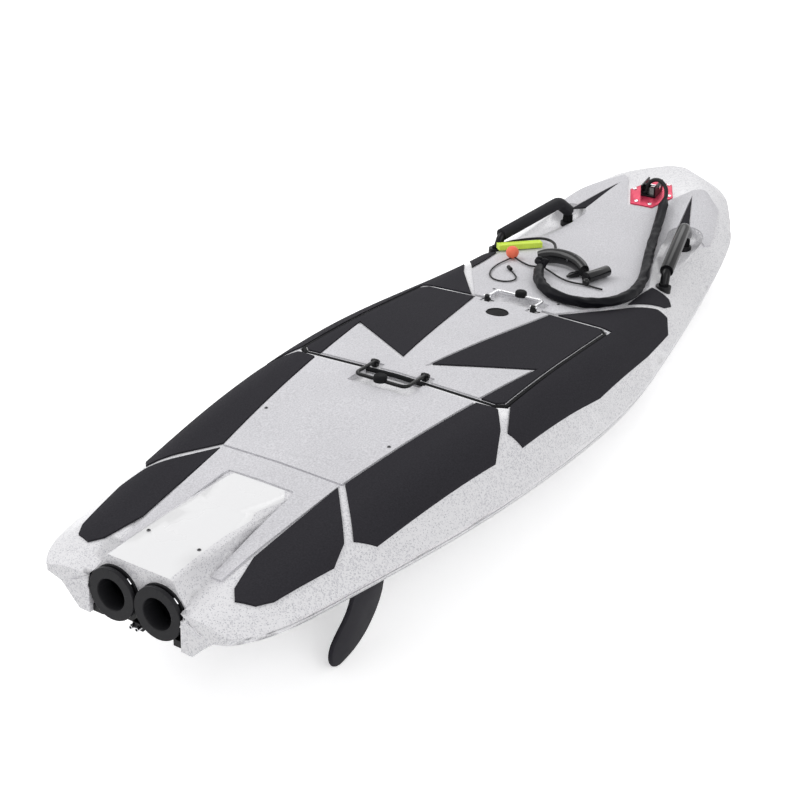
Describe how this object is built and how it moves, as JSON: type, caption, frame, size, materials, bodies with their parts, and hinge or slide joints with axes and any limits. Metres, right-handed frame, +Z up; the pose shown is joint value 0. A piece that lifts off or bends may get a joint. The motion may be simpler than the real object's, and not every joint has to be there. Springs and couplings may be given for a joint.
{
  "type": "motorized surfboard",
  "caption": "Motorized surfboard with twin water jets at the tail, padded deck, lift-off battery lid, fins, grab handles and a tethered hand throttle.",
  "frame": {"origin": "on the floor, under the middle of the parked board's box", "axes": "+X towards the nose, +Y to port, +Z up; the board is parked nose down on its fins and forward bottom"},
  "size_m": [1.8742, 0.5706, 0.2243],
  "materials": {
    "battery_case": "plain moulded case",
    "black_metal": "black coated",
    "black_pad": "fine grained black foam sheet",
    "black_plastic": "satin moulded black",
    "block_yellow": "ribbed foam",
    "cord_black": "braided",
    "disc_grey": "plain disc",
    "float_orange": "smooth foam ball",
    "foam_grip": "smooth tube of foam",
    "grey_pad": "fine grained grey foam sheet",
    "grip_gloss": "glossy moulded black",
    "hull_shell": "white moulded hull with fine grey speckle",
    "pump_metal": "machined",
    "red_anodised": "red anodised",
    "seal_rubber": "matt black",
    "sleeve_cloth": "woven black tube, gathered",
    "wire_steel": "polished bent wire"
  },
  "bodies": {
    "board": {"battery": "battery_case", "cord_feed": "cord_black", "cord_float": "cord_black", "cord_lanyard": "cord_black", "cord_lanyard_end": "cord_black", "cord_lock": "cord_black", "fin_port": "black_plastic", "fin_starboard": "black_plastic", "float_ball": "float_orange", "front_crescents": "black_pad", "front_pad_mid": "grey_pad", "handle_feet_port": "black_plastic", "handle_feet_starboard": "black_plastic", "handle_grip_port": "foam_grip", "handle_grip_starboard": "foam_grip", "handle_tube_port": "black_metal", "handle_tube_starboard": "black_metal", "hull_bottom": "hull_shell", "hull_deck": "hull_shell", "intake_grille_port": "black_plastic", "intake_grille_starboard": "black_plastic", "key_block": "block_yellow", "mid_pads_side": "black_pad", "nose_flashes": "black_pad", "nose_plate": "red_anodised", "nozzle_plate": "black_plastic", "nozzle_port": "black_plastic", "nozzle_starboard": "black_plastic", "outlet_tubes": "pump_metal", "pump_stator_port": "pump_metal", "pump_stator_starboard": "pump_metal", "pump_tube_port": "pump_metal", "pump_tube_starboard": "pump_metal", "tail_pad_mid": "grey_pad", "tail_pads_side": "black_pad", "tether_bracket": "black_metal", "tether_knot": "sleeve_cloth", "tether_loop": "cord_black", "tether_pin": "wire_steel", "tether_sleeve": "sleeve_cloth", "throttle_body": "grip_gloss", "throttle_cross_tube": "grip_gloss", "throttle_lock_ball": "grip_gloss", "throttle_trigger": "grip_gloss", "waist_pad_mid": "grey_pad", "waist_pads_side": "black_pad"},
    "battery_lid": {"lid_disc": "disc_grey", "lid_pad_mid": "grey_pad", "lid_pads_side": "black_pad", "lid_panel": "hull_shell", "lid_seal": "seal_rubber", "bail_clips_front": "black_plastic", "bail_clips_rear": "black_plastic"},
    "rear_bail": {"bail_rear": "wire_steel", "bail_knob_rear": "seal_rubber"},
    "front_bail": {"bail_front": "wire_steel", "bail_knob_front": "seal_rubber"},
    "port_wheel": {"pump_wheel_port": "pump_metal"},
    "starboard_wheel": {"pump_wheel_starboard": "pump_metal"}
  },
  "joints": [
    {"name": "lid_lift", "type": "slide", "parent": "board", "child": "battery_lid", "axis": [0.104, 0, 0.9946], "range_m": [0, 0.2]},
    {"name": "rear_bail_hinge", "type": "hinge", "parent": "battery_lid", "child": "rear_bail", "pos_m": [-0.28939, 0, 0.20764], "axis": [0, 1, 0], "range_deg": [0, 120]},
    {"name": "front_bail_hinge", "type": "hinge", "parent": "battery_lid", "child": "front_bail", "pos_m": [0.0965, 0, 0.16728], "axis": [0, -1, 0], "range_deg": [0, 120]},
    {"name": "port_pump_spin", "type": "hinge", "parent": "board", "child": "port_wheel", "pos_m": [-0.83958, 0.038, 0.1576], "axis": [0.9946, 0, -0.104], "continuous": true},
    {"name": "starboard_pump_spin", "type": "hinge", "parent": "board", "child": "starboard_wheel", "pos_m": [-0.83958, -0.038, 0.1576], "axis": [0.9946, 0, -0.104], "continuous": true}
  ]
}
